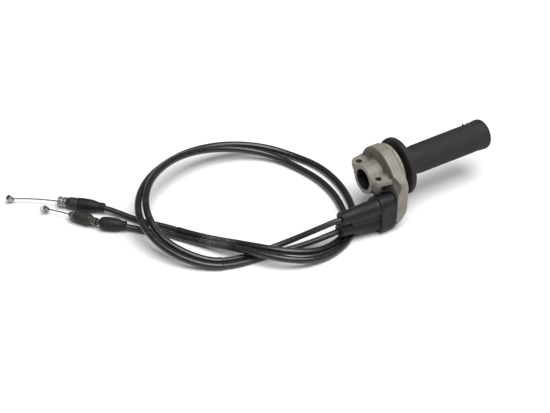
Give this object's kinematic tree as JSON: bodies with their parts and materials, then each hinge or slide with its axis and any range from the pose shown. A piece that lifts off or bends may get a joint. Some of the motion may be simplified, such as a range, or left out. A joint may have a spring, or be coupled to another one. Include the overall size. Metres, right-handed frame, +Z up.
{
  "type": "motorcycle throttle grip",
  "caption": "Push-pull twist throttle for a motorcycle handlebar: rubber grip on a tube, split cast clamp housing, rubber cable boot and paired control cables with engine-end fittings.",
  "frame": {"origin": "on the surface the part lies on, under the middle of housing, boot and grip", "axes": "+X along the bar from the clamp towards the grip end, +Y towards the cable loop, +Z up"},
  "size_m": [0.4609, 0.2626, 0.0813],
  "materials": {
    "cast_alloy": "matt cast, worn",
    "grip_rubber": "matt, fine moulded pattern",
    "boot_rubber": "satin",
    "cable_sheath": "semi-gloss, scuffed",
    "cable_sleeve": "glossy",
    "black_plastic": "moulded",
    "nylon": "natural, slightly yellowed",
    "zinc_steel": "zinc plated, dulled",
    "brass": "turned",
    "wire_steel": "stranded"
  },
  "bodies": {
    "housing": {"housing_upper": "cast_alloy", "housing_lower": "cast_alloy", "seat_plate": "zinc_steel", "seat_plate_screws": "zinc_steel", "pull_housing_ferrule": "zinc_steel", "return_housing_ferrule": "zinc_steel", "roller_bush": "brass", "roller_pin": "zinc_steel", "return_guide": "nylon", "pull_wire_inside": "wire_steel", "return_wire_inside": "wire_steel", "cable_boot": "boot_rubber", "pull_cable": "cable_sheath", "return_cable": "cable_sheath", "pull_sleeve": "cable_sleeve", "return_sleeve": "cable_sleeve", "pull_end_ferrule": "zinc_steel", "pull_lock_nut": "zinc_steel", "pull_cap": "black_plastic", "pull_end_boot": "boot_rubber", "return_end_ferrule": "zinc_steel", "return_lock_nut": "zinc_steel", "return_adjuster": "black_plastic", "return_end_boot": "boot_rubber"},
    "throttle": {"throttle_tube": "nylon", "grip_rubber": "grip_rubber", "pull_drum_nipple": "zinc_steel", "return_drum_nipple": "zinc_steel", "pull_wire_on_drum": "wire_steel", "return_wire_on_drum": "wire_steel"},
    "roller": {"cable_roller": "nylon"},
    "pull_wire": {"pull_end_wire": "wire_steel", "pull_end_nipple": "zinc_steel"},
    "return_wire": {"return_end_wire": "wire_steel", "return_end_nipple": "zinc_steel", "return_nipple_clip": "wire_steel"}
  },
  "joints": [
    {"name": "throttle_twist", "type": "hinge", "parent": "housing", "child": "throttle", "pos_m": [-0.0305, 0.0035, 0.05], "axis": [1, 0, 0], "range_deg": [0, 75]},
    {"name": "roller_turn", "type": "hinge", "parent": "housing", "child": "roller", "pos_m": [-0.0379, -0.0191, 0.03], "axis": [0, 0, 1], "range_deg": [0, 278]},
    {"name": "pull_wire_travel", "type": "hinge", "parent": "housing", "child": "pull_wire", "pos_m": [-0.45831, 0.04749, 0.0066], "axis": [0.014, -0.0143, -0.9998], "range_deg": [0, 7.5]},
    {"name": "return_wire_travel", "type": "hinge", "parent": "housing", "child": "return_wire", "pos_m": [-0.48366, 0.05296, 0.0068], "axis": [-0.0163, 0.0251, 0.9996], "range_deg": [0, 7.5]}
  ],
  "couplings": [
    {"joint": "roller_turn", "follows": "throttle_twist", "ratio": 3.7037},
    {"joint": "pull_wire_travel", "follows": "throttle_twist", "ratio": 0.1},
    {"joint": "return_wire_travel", "follows": "throttle_twist", "ratio": 0.1}
  ]
}
